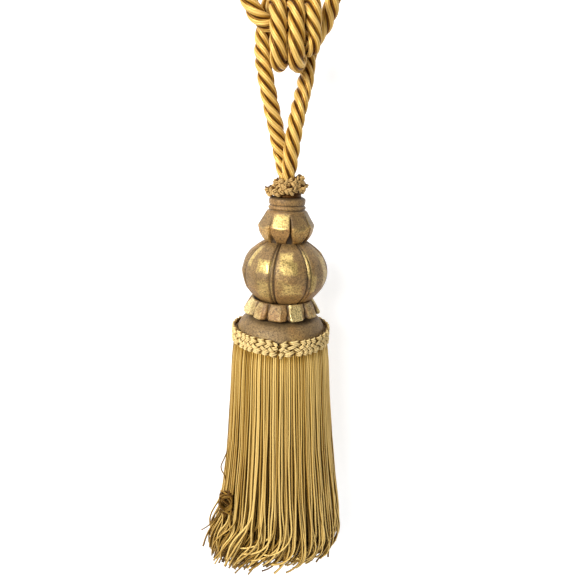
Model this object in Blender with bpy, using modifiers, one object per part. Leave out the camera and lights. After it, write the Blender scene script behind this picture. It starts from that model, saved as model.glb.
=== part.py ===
"""A curtain tieback tassel, hanging by its own cord.

A four-strand twisted cord comes up out of the tassel's head as one leg, is wound
three times round itself in a loose barrel knot, makes the loop that goes over a hook,
and comes back down as the other leg.  The head is a stack of turned and carved
wooden moulds: a petal cup, a melon ball, a ruff and the skirt mould.  A ruffled gimp
collar hides where the cord enters it.  A cut fringe is sewn round the skirt mould
under a plaited gimp braid.

Metres, +Z up.  The origin is the point where the hook carries the loop, on the
underside of the cord at the loop's crown.  -Y is the front.
"""
import math
import random

import bmesh
import bpy
from mathutils import Vector

MM = 0.001

# Driving dimensions -----------------------------------------------------------
CORD_RADIUS = 4.85 * MM         # to the crests of the strands
CORD_VALLEY_RADIUS = 3.95 * MM  # to the grooves between them
CORD_STRANDS = 4
CORD_LAY = 29.5 * MM            # length of cord in which a strand goes once round
CORD_STEPS_PER_LAY = 13
CORD_KNOT_SQUEEZE = 0.8         # the cord is pressed thinner inside its own knot
CORD_NECK_SQUEEZE = 0.81        # and where both legs go through the collar

GAP = 0.3 * MM                  # clearance between pieces that touch

NECK_TOP = -168.4 * MM          # top of the wooden head
SKIRT_SHIFT = -1.1 * MM         # the ruff and skirt are strung a little to the left
BALL_CENTRE = -215.3 * MM
BALL_RADIUS = 27.2 * MM
BALL_HALF_HEIGHT = 22.3 * MM
BALL_LOBES = 7
BALL_FIRST_RIB = -16.0          # degrees to the right of the front
CUP_PETALS = 8
CUP_FIRST_SLIT = 10.5
RUFF_TOP = -232.3 * MM
RUFF_BOTTOM = -243.2 * MM
RUFF_RADIUS = 24.9 * MM
MOULD_TOP = RUFF_BOTTOM - GAP
MOULD_RIM_RADIUS = 28.5 * MM
MOULD_RIM = -253.9 * MM
MOULD_BASE_RADIUS = 26.5 * MM
MOULD_BOTTOM = -264.5 * MM

BRAID_INNER_RADIUS = 30.0 * MM
BRAID_RADIUS = 31.6 * MM
BRAID_TOP = -251.4 * MM
BRAID_BOTTOM = -261.1 * MM
BRAID_LUMPS = 36
BRAID_RELIEF = 0.45 * MM
BRAID_EDGE = 0.35 * MM          # how far the edge loops stand above and below the band

COLLAR_RADIUS = 12.4 * MM
COLLAR_HEIGHT = 12.6 * MM
COLLAR_RUFFLES = 9
COLLAR_RELIEF = 0.9 * MM

HEADING_INNER_RADIUS = MOULD_BASE_RADIUS + 0.4 * MM
HEADING_RADIUS = BRAID_INNER_RADIUS - 0.35 * MM
HEADING_TOP = MOULD_RIM - 1.3 * MM
HEADING_BOTTOM = -260.8 * MM
FRINGE_COLUMNS = 90             # strands in each of the two layers
FRINGE_TIP = -412.0 * MM
STRAND_UNEVEN = (-4.0, 3.0)     # how much longer or shorter a strand is, in millimetres
STRAND_LEAN = 0.011             # radians that a strand leans by, at most
STRAND_HALF_WIDTH = 0.72 * MM
STRAND_HALF_DEPTH = 0.6 * MM

COLOURS = {
    "cord_gold": ((0.56, 0.36, 0.09, 1.0), 0.38, 0.0),
    "gimp_gold": ((0.62, 0.44, 0.17, 1.0), 0.5, 0.0),
    "fringe_gold": ((0.47, 0.32, 0.09, 1.0), 0.42, 0.0),
    "antique_gilt": ((0.33, 0.22, 0.09, 1.0), 0.42, 0.35),
    "bronzed_mould": ((0.24, 0.16, 0.075, 1.0), 0.5, 0.25),
}


# Helpers ----------------------------------------------------------------------
def clear_scene():
    for old in list(bpy.data.objects):
        bpy.data.objects.remove(old, do_unlink=True)


def material(name):
    mat = bpy.data.materials.get(name) or bpy.data.materials.new(name)
    colour, roughness, metallic = COLOURS[name]
    mat.use_nodes = True
    shader = mat.node_tree.nodes["Principled BSDF"]
    shader.inputs["Base Color"].default_value = colour
    shader.inputs["Roughness"].default_value = roughness
    shader.inputs["Metallic"].default_value = metallic
    mat.diffuse_color = colour
    return mat


def collection(name):
    made = bpy.data.collections.new(name)
    bpy.context.scene.collection.children.link(made)
    return made


def piece(name, mesh, material_name, parts, shift=0.0):
    """Puts a finished mesh in the parts collection under its own name."""
    bm = bmesh.new()
    bm.from_mesh(mesh)
    bmesh.ops.translate(bm, verts=bm.verts, vec=(shift, 0.0, 0.0))
    bmesh.ops.recalc_face_normals(bm, faces=bm.faces)
    bm.to_mesh(mesh)
    bm.free()
    mesh.materials.clear()
    mesh.materials.append(material(material_name))
    mesh.shade_smooth()
    mesh.set_sharp_from_angle(angle=math.radians(32))
    obj = bpy.data.objects.new(name, mesh)
    parts.objects.link(obj)
    return obj


def turned(profile, columns, closed_loop=False):
    """A turned blank: the profile (r, z), run down the outer side, screwed round Z."""
    count = len(profile)
    edges = [(i, i + 1) for i in range(count - 1)]
    if closed_loop:
        edges.append((count - 1, 0))
    mesh = bpy.data.meshes.new("profile")
    mesh.from_pydata([(r, 0.0, z) for r, z in profile], edges, [])
    blank = bpy.data.objects.new("profile", mesh)
    bpy.context.scene.collection.objects.link(blank)
    screw = blank.modifiers.new("turn", "SCREW")
    screw.steps = columns
    screw.render_steps = columns
    screw.use_merge_vertices = True
    screw.merge_threshold = 0.00001
    graph = bpy.context.evaluated_depsgraph_get()
    result = bpy.data.meshes.new_from_object(blank.evaluated_get(graph))
    bpy.data.objects.remove(blank, do_unlink=True)
    bpy.data.meshes.remove(mesh)
    return result


def from_front(degrees):
    """Polar angle about Z of a direction given in degrees to the right of the front."""
    return math.radians(degrees - 90.0)


def carve(mesh, columns, table, starts, cut):
    """Moves a turned blank's columns to the angles that its ornament needs, and cuts it.

    table has one row (share of the pitch, weight) for each column of a repeat, starts
    holds the angle at which each repeat begins, and cut(weight, share, r, z) gives the
    new radius and height of a point."""
    per_repeat = len(table)
    ends = starts[1:] + [starts[0] + 2.0 * math.pi]
    for vertex in mesh.vertices:
        x, y, z = vertex.co
        r = math.hypot(x, y)
        if r < 1e-6:
            continue
        column = round(math.atan2(y, x) / (2.0 * math.pi) * columns) % columns
        repeat, place = divmod(column, per_repeat)
        share, weight = table[place]
        angle = starts[repeat] + share * (ends[repeat] - starts[repeat])
        r, z = cut(weight, share, r, z)
        vertex.co = (r * math.cos(angle), r * math.sin(angle), z)


def even_starts(count, first):
    return [first + 2.0 * math.pi * i / count for i in range(count)]


def ramp(value, low, high):
    """0 below low, 1 above high, and a straight line between."""
    return min(1.0, max(0.0, (value - low) / (high - low)))


def read_off(table, value):
    """Straight-line reading of a table of (value, result) rows in rising order."""
    for (v0, r0), (v1, r1) in zip(table, table[1:]):
        if value <= v1:
            return r0 + (r1 - r0) * ramp(value, v0, v1)
    return table[-1][1]


def ball_surface(r, sign):
    """Height of the melon ball's outer form at radius r, above (+1) or below (-1)."""
    return BALL_CENTRE + sign * BALL_HALF_HEIGHT * math.sqrt(1.0 - (r / BALL_RADIUS) ** 2)


# Cord -------------------------------------------------------------------------
# Millimetres: x to the right, y away from the front, z up.
LEFT_LEG = (
    (-1.3, 4.0, -168.1), (-1.5, 4.0, -160.0), (-3.0, 4.6, -152.5), (-5.4, 5.0, -141.0),
    (-8.0, 4.4, -130.0), (-10.6, 3.3, -119.5), (-12.8, 2.6, -111.0), (-14.7, 2.8, -102.5),
    (-16.4, 4.0, -95.0), (-17.7, 6.2, -88.5), (-18.2, 8.8, -82.0), (-18.0, 10.5, -75.5),
    (-17.4, 10.6, -69.0), (-16.0, 8.6, -63.4), (-13.9, 4.9, -59.6),
)
TURN_INTO_CORE = (
    (11.9, -6.9, -75.4), (12.4, -6.7, -79.2), (11.8, -5.6, -82.7), (10.2, -3.0, -84.2),
    (8.6, -0.4, -82.8), (7.6, 0.6, -79.4), (5.2, 0.5, -76.4), (1.8, 0.1, -74.7),
)
CORE = ((-1.2, 0.0, -73.9), (-6.2, 0.0, -72.3), (-11.0, -0.1, -71.2))
LEFT_ARM = ((-16.2, -0.8, -70.2), (-20.6, -1.0, -67.2), (-24.0, -0.6, -62.2), (-27.2, -0.1, -56.0))
LOOP = (
    (-30.6, 0.0, -47.6), (-32.6, 0.0, -38.2), (-32.4, 0.0, -28.5), (-29.9, 0.0, -18.8),
    (-25.0, 0.0, -9.9), (-17.9, 0.0, -2.6), (-9.3, 0.0, 2.7), (0.0, 0.0, 4.8),
    (8.9, 0.2, 2.7), (16.4, 0.6, -2.5), (22.1, 1.2, -9.9), (25.3, 2.1, -18.8),
    (26.2, 3.4, -28.5), (25.2, 5.0, -38.5), (23.3, 7.0, -47.8),
)
RIGHT_STRAND = (
    (21.7, 9.4, -55.9), (20.3, 12.4, -62.6), (17.2, 15.4, -69.2), (12.9, 17.5, -75.4),
    (10.0, 17.9, -82.2), (9.1, 15.9, -89.8), (8.5, 11.9, -97.5), (7.2, 7.0, -105.0),
    (5.7, 2.4, -112.0), (4.2, -1.2, -119.5), (2.7, -3.8, -129.5), (1.5, -4.9, -140.5),
    (0.5, -4.6, -152.0), (-0.3, -4.0, -160.0), (-0.3, -4.0, -168.1),
)
WRAP_PITCH = 10.2               # from one wrap to the next
WRAP_FIRST_TOP = -11.9          # x at the top of the first wrap
WRAP_LEAN = 0.7                 # keeps the front bars steeper than the back ones
WRAP_SIDESTEP = 0.9             # the front bars stand to the right of the back ones
WRAP_TUCK_X = 0.7               # the third front bar is tucked in beside the second
WRAP_TUCK_Y = 2.6
WRAP_BEND_RADIUS = 9.1
WRAP_STRAIGHT = 7.4             # half of a wrap's straight bar
WRAP_MIDDLE = -75.3
WRAP_TURNS = 2.19               # the third wrap's front bar turns under into the core
WRAP_POINTS_PER_TURN = 16
GRIP_START = 148.0              # below this depth the collar starts to squeeze the legs
GRIP_FULL = 157.0
ROUTE_SUBSTEPS = 12


def wrap_point(turn):
    """A point on the barrel knot's wraps: down the front, under, up the back, over."""
    angle = 2.0 * math.pi * turn
    x = WRAP_FIRST_TOP + WRAP_PITCH * turn + WRAP_LEAN * math.cos(angle)
    tuck = ramp(turn, 1.6, WRAP_TURNS)
    x += WRAP_SIDESTEP * math.sin(angle) - WRAP_TUCK_X * tuck
    y = WRAP_TUCK_Y * tuck - WRAP_BEND_RADIUS * math.sin(angle)
    upper = math.tanh(3.0 * math.cos(angle))
    z = WRAP_MIDDLE + WRAP_BEND_RADIUS * math.cos(angle) + WRAP_STRAIGHT * upper
    return (x, y, z)


def leg_size(point):
    """Share of the full thickness: less where the collar grips the legs."""
    return 1.0 - (1.0 - CORD_NECK_SQUEEZE) * ramp(-point[2], GRIP_START, GRIP_FULL)


def cord_route():
    """Every point of the cord in order, with its share of the full thickness."""
    last = int(WRAP_TURNS * WRAP_POINTS_PER_TURN)
    wraps = tuple(wrap_point(i / WRAP_POINTS_PER_TURN) for i in range(last + 1))
    route = [(p, leg_size(p)) for p in LEFT_LEG + wraps]
    route += [(p, CORD_KNOT_SQUEEZE) for p in TURN_INTO_CORE + CORE]
    route += [(p, leg_size(p)) for p in LEFT_ARM + LOOP + RIGHT_STRAND]
    return [(Vector(p) * MM, size) for p, size in route]


def smooth_route(route, substeps):
    """Catmull-Rom curve through the route's points."""
    points = [p for p, _ in route]
    sizes = [s for _, s in route]
    fine = []
    last = len(points) - 1
    for i in range(last):
        p0, p1 = points[max(i - 1, 0)], points[i]
        p2, p3 = points[i + 1], points[min(i + 2, last)]
        for k in range(substeps):
            t = k / substeps
            where = 0.5 * (2.0 * p1 + (p2 - p0) * t + (2.0 * p0 - 5.0 * p1 + 4.0 * p2 - p3) * t * t
                           + (3.0 * p1 - p0 - 3.0 * p2 + p3) * t ** 3)
            fine.append((where, sizes[i] + (sizes[i + 1] - sizes[i]) * t))
    fine.append((points[-1], sizes[-1]))
    return fine


def even_steps(fine, step):
    """The same curve with its points a steady distance apart."""
    lengths = [0.0]
    for (a, _), (b, _) in zip(fine, fine[1:]):
        lengths.append(lengths[-1] + (b - a).length)
    count = round(lengths[-1] / step)
    result = []
    i = 0
    for k in range(count + 1):
        wanted = lengths[-1] * k / count
        while i < len(lengths) - 2 and lengths[i + 1] < wanted:
            i += 1
        t = (wanted - lengths[i]) / (lengths[i + 1] - lengths[i])
        (a, sa), (b, sb) = fine[i], fine[i + 1]
        result.append((a.lerp(b, t), sa + (sb - sa) * t))
    return result


def cord_profile():
    """The cord's cross-section: a crest for each strand and a groove between."""
    curve = bpy.data.curves.new("cord_section", "CURVE")
    curve.dimensions = "2D"
    spline = curve.splines.new("POLY")
    count = 2 * CORD_STRANDS
    spline.points.add(count - 1)
    for i in range(count):
        radius = CORD_VALLEY_RADIUS if i % 2 else CORD_RADIUS
        angle = 2.0 * math.pi * i / count
        spline.points[i].co = (radius * math.cos(angle), radius * math.sin(angle), 0.0, 1.0)
    spline.use_cyclic_u = True
    return bpy.data.objects.new("cord_section", curve)


def make_cord(parts, guides):
    path = even_steps(smooth_route(cord_route(), ROUTE_SUBSTEPS), CORD_LAY / CORD_STEPS_PER_LAY)
    section = cord_profile()
    section.hide_render = True
    section.display_type = "WIRE"
    guides.objects.link(section)
    curve = bpy.data.curves.new("cord_path", "CURVE")
    curve.dimensions = "3D"
    curve.twist_mode = "MINIMUM"
    curve.bevel_mode = "OBJECT"
    curve.bevel_object = section
    curve.use_fill_caps = True
    spline = curve.splines.new("POLY")
    spline.points.add(len(path) - 1)
    turn_each = 2.0 * math.pi / CORD_STEPS_PER_LAY
    for i, (where, size) in enumerate(path):
        spline.points[i].co = (*where, 1.0)
        spline.points[i].radius = size
        spline.points[i].tilt = -i * turn_each
    tube = bpy.data.objects.new("cord_tube", curve)
    guides.objects.link(tube)
    graph = bpy.context.evaluated_depsgraph_get()
    mesh = bpy.data.meshes.new_from_object(tube.evaluated_get(graph))
    bpy.data.objects.remove(tube, do_unlink=True)
    bm = bmesh.new()
    bm.from_mesh(mesh)
    bmesh.ops.remove_doubles(bm, verts=bm.verts, dist=0.00001)
    bm.to_mesh(mesh)
    bm.free()
    piece("tieback_cord", mesh, "cord_gold", parts)


# Wooden head ------------------------------------------------------------------
# Millimetres: radius, height below the top of the neck.
CUP_PROFILE = (
    (0.0, 0.0), (10.4, 0.0), (11.2, -1.0), (11.2, -4.4), (10.6, -5.0), (11.5, -5.8),
    (11.5, -6.9), (10.8, -7.6), (12.5, -8.4), (15.3, -13.4), (17.6, -18.8), (16.0, -23.2),
    (13.4, -26.6), (11.4, -25.9), (6.0, -24.4), (0.0, -23.9),
)
CUP_PETAL_TOP = NECK_TOP - 8.0 * MM
CUP_KNUCKLE = NECK_TOP - 18.8 * MM
CUP_PETAL_CUT = 3.2 * MM
CUP_CORE_RADIUS = 12.0 * MM     # the petals stand outside this
CUP_FLATNESS = 0.45             # 0 leaves the petals round, 1 cuts them flat
CUP_TRIM = 0.96                 # what the knife takes off a flat petal
# Share of the petal's width, depth of the slit there
CUP_COLUMNS = ((0.0, 1.0), (0.09, 0.0), (0.36, 0.0), (0.64, 0.0), (0.91, 0.0))


def make_petal_cup(parts):
    columns = CUP_PETALS * len(CUP_COLUMNS)
    profile = [(r * MM, NECK_TOP + z * MM) for r, z in CUP_PROFILE]
    mesh = turned(profile, columns)
    def cut(weight, share, r, z):
        if z > CUP_PETAL_TOP or r < CUP_CORE_RADIUS:
            return r, z
        depth = CUP_PETAL_CUT * ramp(CUP_PETAL_TOP - z, 0.0, CUP_PETAL_TOP - CUP_KNUCKLE)
        facet = CUP_TRIM / math.cos((share - 0.5) * 2.0 * math.pi / CUP_PETALS)
        return r * (1.0 - CUP_FLATNESS + CUP_FLATNESS * facet) - weight * depth, z

    starts = even_starts(CUP_PETALS, from_front(CUP_FIRST_SLIT))
    carve(mesh, columns, CUP_COLUMNS, starts, cut)
    piece("petal_cup", mesh, "antique_gilt", parts)


BALL_ROWS = 13
BALL_GROOVE = 1.1 * MM
# Share of the lobe's width from its rib, depth of the groove there
BALL_COLUMNS = ((0.0, 0.25), (0.06, 1.0), (0.15, 0.1), (0.5, 0.0), (0.85, 0.1), (0.94, 1.0))


def make_melon_ball(parts):
    columns = BALL_LOBES * len(BALL_COLUMNS)
    profile = []
    for row in range(BALL_ROWS):
        angle = math.pi * row / (BALL_ROWS - 1)
        r = BALL_RADIUS * math.sin(angle)
        profile.append((max(r, 0.0), BALL_CENTRE + BALL_HALF_HEIGHT * math.cos(angle)))
    profile[-1] = (0.0, profile[-1][1])
    mesh = turned(profile, columns)

    def cut(weight, share, r, z):
        depth = weight * BALL_GROOVE * ramp(r, 4.0 * MM, 16.0 * MM)
        return r - depth, z

    starts = even_starts(BALL_LOBES, from_front(BALL_FIRST_RIB))
    carve(mesh, columns, BALL_COLUMNS, starts, cut)
    piece("melon_ball", mesh, "antique_gilt", parts)


# Degrees to the right of the front at which the ruff's hand-cut scallops meet
SCALLOP_EDGES = (-84.0, -51.0, -25.0, 6.5, 41.5, 72.5, 101.0, 129.0, 157.0, 186.0, 215.0, 245.0)
# Share of the scallop's width, depth of the cut there
RUFF_COLUMNS = ((0.0, 1.0), (0.14, 0.25), (0.5, 0.0), (0.86, 0.25))
RUFF_SEAT_RADIUS = 18.0 * MM    # the ball sits inside this
RUFF_CUT = 1.9 * MM
RUFF_LIFT = 1.0 * MM


def make_ruff(parts):
    columns = len(SCALLOP_EDGES) * len(RUFF_COLUMNS)
    seat = [(r * MM, ball_surface(r * MM, -1) - 0.4 * MM) for r in (0.0, 8.0, 13.5, 17.4)]
    profile = seat + [
        (19.7 * MM, RUFF_TOP), (22.6 * MM, RUFF_TOP - 4.8 * MM), (RUFF_RADIUS, RUFF_BOTTOM + 1.5 * MM),
        (RUFF_RADIUS - 1.2 * MM, RUFF_BOTTOM - 0.4 * MM), (20.6 * MM, RUFF_BOTTOM + 0.5 * MM),
        (19.4 * MM, RUFF_BOTTOM), (0.0, RUFF_BOTTOM),
    ]
    mesh = turned(profile, columns)

    def cut(weight, share, r, z):
        flare = ramp(r, 19.0 * MM, RUFF_RADIUS)
        if r < 19.5 * MM:
            return r, z
        return r - weight * RUFF_CUT * (0.35 + 0.65 * flare), z + weight * RUFF_LIFT * flare

    starts = [from_front(edge) for edge in SCALLOP_EDGES]
    carve(mesh, columns, RUFF_COLUMNS, starts, cut)
    for vertex in mesh.vertices:
        if vertex.co.xy.length > RUFF_SEAT_RADIUS:
            vertex.co.x += SKIRT_SHIFT
    piece("ruff", mesh, "antique_gilt", parts)


def make_skirt_mould(parts):
    profile = [
        (0.0, MOULD_TOP), (19.8 * MM, MOULD_TOP), (23.6 * MM, MOULD_TOP - 1.9 * MM),
        (26.6 * MM, MOULD_TOP - 5.3 * MM), (28.2 * MM, MOULD_RIM + 1.3 * MM),
        (MOULD_RIM_RADIUS, MOULD_RIM), (MOULD_RIM_RADIUS - 0.5 * MM, MOULD_RIM - 0.9 * MM),
        (MOULD_BASE_RADIUS, MOULD_RIM - 1.0 * MM), (MOULD_BASE_RADIUS, MOULD_BOTTOM),
        (0.0, MOULD_BOTTOM),
    ]
    piece("skirt_mould", turned(profile, 36), "bronzed_mould", parts, SKIRT_SHIFT)


# Gimp trims -------------------------------------------------------------------
def make_skirt_braid(parts):
    """A plaited band: staggered lumps in rows, its ends meeting at the front."""
    columns = 2 * BRAID_LUMPS
    height = BRAID_TOP - BRAID_BOTTOM
    rows = (0.0, 0.3, 0.55, 0.8, 1.0)
    last_row = len(rows) - 1
    profile = [(BRAID_RADIUS, BRAID_TOP - share * height) for share in rows]
    profile += [(BRAID_INNER_RADIUS, BRAID_BOTTOM), (BRAID_INNER_RADIUS, BRAID_TOP)]
    mesh = turned(profile, columns, closed_loop=True)
    for vertex in mesh.vertices:
        x, y, z = vertex.co
        r = math.hypot(x, y)
        if r < (BRAID_INNER_RADIUS + BRAID_RADIUS) / 2.0:
            continue
        column = round(math.atan2(y, x) / (2.0 * math.pi) * columns)
        row = round((BRAID_TOP - z) / height * last_row)
        raised = (column + row) % 2
        if raised and row == 0:
            z += BRAID_EDGE
        if raised and row == last_row:
            z -= BRAID_EDGE
        relief = BRAID_RELIEF if raised else -BRAID_RELIEF
        scale = (r + relief) / r
        vertex.co = (x * scale, y * scale, z)
    piece("skirt_braid", mesh, "gimp_gold", parts, SKIRT_SHIFT)


COLLAR_BLANK_HOLE = 5.0 * MM
COLLAR_LIFT = 0.7 * MM          # how far the upper tier's ruffles rise and fall
COLLAR_HOLE_X = 6.2 * MM
COLLAR_HOLE_Y = 8.8 * MM
COLLAR_SHIFT = 0.8 * MM         # to the left, where the legs lean
COLLAR_HOLE_CORNER = 0.72       # 1 is an ellipse, less is squarer
# Share of the collar's height, radius as a share of COLLAR_RADIUS
COLLAR_TIERS = ((0.0, 0.86), (0.14, 1.0), (0.36, 1.0), (0.5, 0.9), (0.66, 0.97), (0.88, 0.95), (1.0, 0.86))


def make_collar(parts):
    """Two tiers of ruffled gimp round both legs of the cord, where they enter the head."""
    columns = 4 * COLLAR_RUFFLES
    bottom = NECK_TOP + GAP
    profile = [(share * COLLAR_RADIUS, bottom + height * COLLAR_HEIGHT)
               for height, share in reversed(COLLAR_TIERS)]
    profile += [(COLLAR_BLANK_HOLE, bottom), (COLLAR_BLANK_HOLE, bottom + COLLAR_HEIGHT)]
    mesh = turned(profile, columns, closed_loop=True)
    for vertex in mesh.vertices:
        x, y, z = vertex.co
        angle = math.atan2(y, x)
        r = math.hypot(x, y)
        if r < (COLLAR_BLANK_HOLE + COLLAR_RADIUS) / 2.0:
            across, deep = math.cos(angle), math.sin(angle)
            x = COLLAR_HOLE_X * math.copysign(abs(across) ** COLLAR_HOLE_CORNER, across)
            y = COLLAR_HOLE_Y * math.copysign(abs(deep) ** COLLAR_HOLE_CORNER, deep)
            vertex.co = (x - COLLAR_SHIFT, y, z)
            continue
        height = (z - bottom) / COLLAR_HEIGHT
        tier = 0 if height < 0.5 else 1
        wave = math.cos(COLLAR_RUFFLES * angle + math.pi * tier)
        r += COLLAR_RELIEF * wave
        z += COLLAR_LIFT * wave * ramp(height, 0.5, 1.0)
        vertex.co = (r * math.cos(angle) - COLLAR_SHIFT, r * math.sin(angle), z)
    piece("neck_collar", mesh, "gimp_gold", parts)


# Fringe -----------------------------------------------------------------------
# Share of a strand's length, radius of the outer layer there in millimetres
SKIRT_FLARE = ((0.0, 29.0), (0.1, 31.2), (0.45, 34.9), (0.78, 42.0), (1.0, 49.6))
STRAND_SECTIONS = {"outer": (0.1, 0.45, 0.78, 1.0), "inner": (0.12, 0.6, 1.0)}
INNER_ROOT_SHARE = 0.95         # radius of the inner layer as a share of the outer one
INNER_LAYER_SHARE = 0.82        # the same from half way down
SKIRT_DRIFT = 1.8 * MM          # the skirt hangs a little to the right of the head
TIP_CURL_START = 0.78           # share of the length above which strands hang straight
TIP_CURL = 3.6 * MM             # the tips curl away to the left
FRONT_LIFT = 7.0 * MM           # the strands are shorter in front


def strand_point(angle, layer, share, tip_drop, lean):
    """Where a strand runs: a flared skirt whose tips curl to the left."""
    radius = read_off(SKIRT_FLARE, share) * MM
    if layer == "inner":
        radius *= INNER_ROOT_SHARE - (INNER_ROOT_SHARE - INNER_LAYER_SHARE) * ramp(share, 0.0, 0.5)
    front = max(0.0, -math.sin(angle))
    length = HEADING_BOTTOM - FRINGE_TIP + tip_drop - FRONT_LIFT * front
    turned_by = angle + lean * share * share
    curl = TIP_CURL * ramp(share, TIP_CURL_START, 1.0)
    x = radius * math.cos(turned_by) + SKIRT_DRIFT * share - curl
    y = radius * math.sin(turned_by)
    return Vector((x, y, HEADING_BOTTOM - share * length))


def make_fringe(parts):
    """The fringe's woven heading, with two layers of cut strands hanging from it."""
    middle = (HEADING_INNER_RADIUS + HEADING_RADIUS) / 2.0
    profile = [
        (HEADING_RADIUS, HEADING_TOP), (HEADING_RADIUS, HEADING_BOTTOM), (middle, HEADING_BOTTOM),
        (HEADING_INNER_RADIUS, HEADING_BOTTOM), (HEADING_INNER_RADIUS, HEADING_TOP),
    ]
    mesh = turned(profile, FRINGE_COLUMNS, closed_loop=True)
    chance = random.Random(7)
    bm = bmesh.new()
    bm.from_mesh(mesh)
    bmesh.ops.recalc_face_normals(bm, faces=bm.faces)
    roots = [face for face in bm.faces if face.normal.z < -0.9]
    roots.sort(key=lambda face: (round(math.atan2(*face.calc_center_median().yx), 4),
                                 face.calc_center_median().xy.length))
    for face in roots:
        centre = face.calc_center_median()
        angle = math.atan2(centre.y, centre.x)
        layer = "outer" if centre.xy.length > middle else "inner"
        outward = Vector((math.cos(angle), math.sin(angle), 0.0))
        along = Vector((-math.sin(angle), math.cos(angle), 0.0))
        tip_drop = chance.uniform(*STRAND_UNEVEN) * MM
        lean = chance.uniform(-STRAND_LEAN, STRAND_LEAN)
        tip = face
        for share in STRAND_SECTIONS[layer]:
            corners = [(math.copysign(1.0, (v.co - tip.calc_center_median()).dot(along)),
                        math.copysign(1.0, (v.co - tip.calc_center_median()).dot(outward)))
                       for v in tip.verts]
            tip = bmesh.ops.extrude_discrete_faces(bm, faces=[tip])["faces"][0]
            where = strand_point(angle, layer, share, tip_drop, lean)
            for v, (side, depth) in zip(tip.verts, corners):
                v.co = (where + along * side * STRAND_HALF_WIDTH
                        + outward * depth * STRAND_HALF_DEPTH)
    bm.to_mesh(mesh)
    bm.free()
    piece("skirt_fringe", mesh, "fringe_gold", parts, SKIRT_SHIFT)


def main():
    clear_scene()
    parts = collection("curtain_tieback_tassel")
    guides = collection("guides")
    make_cord(parts, guides)
    make_collar(parts)
    make_petal_cup(parts)
    make_melon_ball(parts)
    make_ruff(parts)
    make_skirt_mould(parts)
    make_skirt_braid(parts)
    make_fringe(parts)


main()
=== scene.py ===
"""The looks of a curtain tieback tassel: a twisted satin cord tied in a knot, a ruffled
gimp collar, a carved and gilded wooden head, a plaited braid and a long cut fringe, hung
in front of a white wall.

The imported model's frame is in metres, and so is the stage.  Shapes are worked out in
millimetres, and tables give directions in degrees to the right of the front."""
import math
import random
from collections import namedtuple

import bpy
import numpy as np
from mathutils import Matrix, Vector


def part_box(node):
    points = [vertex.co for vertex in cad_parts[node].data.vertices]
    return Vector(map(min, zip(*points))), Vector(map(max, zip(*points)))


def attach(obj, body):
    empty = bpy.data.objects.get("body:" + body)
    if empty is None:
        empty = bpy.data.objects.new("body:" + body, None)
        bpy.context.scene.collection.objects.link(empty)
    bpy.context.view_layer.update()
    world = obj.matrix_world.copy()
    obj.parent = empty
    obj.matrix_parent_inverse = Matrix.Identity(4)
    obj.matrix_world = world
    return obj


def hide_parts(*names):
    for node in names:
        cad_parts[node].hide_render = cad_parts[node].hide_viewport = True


MM = 0.001
TAU = 2.0 * math.pi

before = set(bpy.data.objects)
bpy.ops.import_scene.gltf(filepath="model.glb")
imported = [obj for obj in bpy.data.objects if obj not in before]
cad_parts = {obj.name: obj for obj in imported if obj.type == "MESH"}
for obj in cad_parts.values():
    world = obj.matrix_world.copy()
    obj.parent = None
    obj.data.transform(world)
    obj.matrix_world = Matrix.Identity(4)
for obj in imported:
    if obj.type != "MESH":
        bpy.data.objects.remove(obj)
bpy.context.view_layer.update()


# --- The model's places ---
def mm_box(node):
    """A node's lowest and highest corners in millimetres."""
    low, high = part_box(node)
    return [c / MM for c in low], [c / MM for c in high]


BALL_LOW, BALL_HIGH = mm_box("melon_ball")
MOULD_LOW, MOULD_HIGH = mm_box("skirt_mould")
BRAID_LOW, BRAID_HIGH = mm_box("skirt_braid")
COLLAR_FOOT = mm_box("neck_collar")[0][2]
NECK_TOP = mm_box("petal_cup")[1][2]
RUFF_FOOT = mm_box("ruff")[0][2]
FRINGE_TOP = mm_box("skirt_fringe")[1][2]
SKIRT_X = (MOULD_LOW[0] + MOULD_HIGH[0]) / 2.0  # the ruff and skirt sit a little to the left


# --- Numbers and paths ---
def smoothstep(x, low, high):
    t = np.clip((x - low) / (high - low), 0.0, 1.0)
    return t * t * (3.0 - 2.0 * t)


def from_front(degrees):
    """Polar angle of a direction that many degrees to the right of the front."""
    return math.radians(degrees - 90.0)


def degrees_past(angle, start):
    """How many degrees, within half a turn, an angle lies to the right of start."""
    return (np.degrees(angle) + 90.0 - start + 180.0) % 360.0 - 180.0


def unit(v):
    return v / np.maximum(np.linalg.norm(v, axis=-1, keepdims=True), 1e-9)


def travelled(points):
    """Distance along a path up to each of its points."""
    gaps = np.linalg.norm(np.diff(points, axis=0), axis=1)
    return np.concatenate([[0.0], np.cumsum(gaps)])


def smooth_path(points, substeps=8):
    """Catmull-Rom curve through the points (an array with any number of columns)."""
    p = np.asarray(points, dtype=float)
    padded = np.vstack([p[:1], p, p[-1:]])
    t = (np.arange(substeps) / substeps)[:, None]
    pieces = []
    for i in range(len(p) - 1):
        a, b, c, d = padded[i:i + 4]
        pieces.append(0.5 * (2 * b + (c - a) * t + (2 * a - 5 * b + 4 * c - d) * t ** 2
                             + (3 * b - a - 3 * c + d) * t ** 3))
    return np.vstack(pieces + [p[-1:]])


def even_path(points, step):
    """The same path in even steps, and the distance along it; x, y, z come first."""
    along = travelled(points[:, :3])
    wanted = np.linspace(0.0, along[-1], int(round(along[-1] / step)) + 1)
    columns = [np.interp(wanted, along, points[:, k]) for k in range(points.shape[1])]
    return np.stack(columns, axis=1), wanted


def carried_frames(points):
    """Tangents, and two normals carried along the path without twist."""
    tangents = unit(np.gradient(points, axis=0))
    start = np.cross(tangents[0], [0.3, 1.0, 0.2])
    normals = [start / np.linalg.norm(start)]
    for t in tangents[1:]:
        n = normals[-1] - t * np.dot(normals[-1], t)
        normals.append(n / np.linalg.norm(n))
    normals = np.array(normals)
    return tangents, normals, np.cross(tangents, normals)


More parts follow.
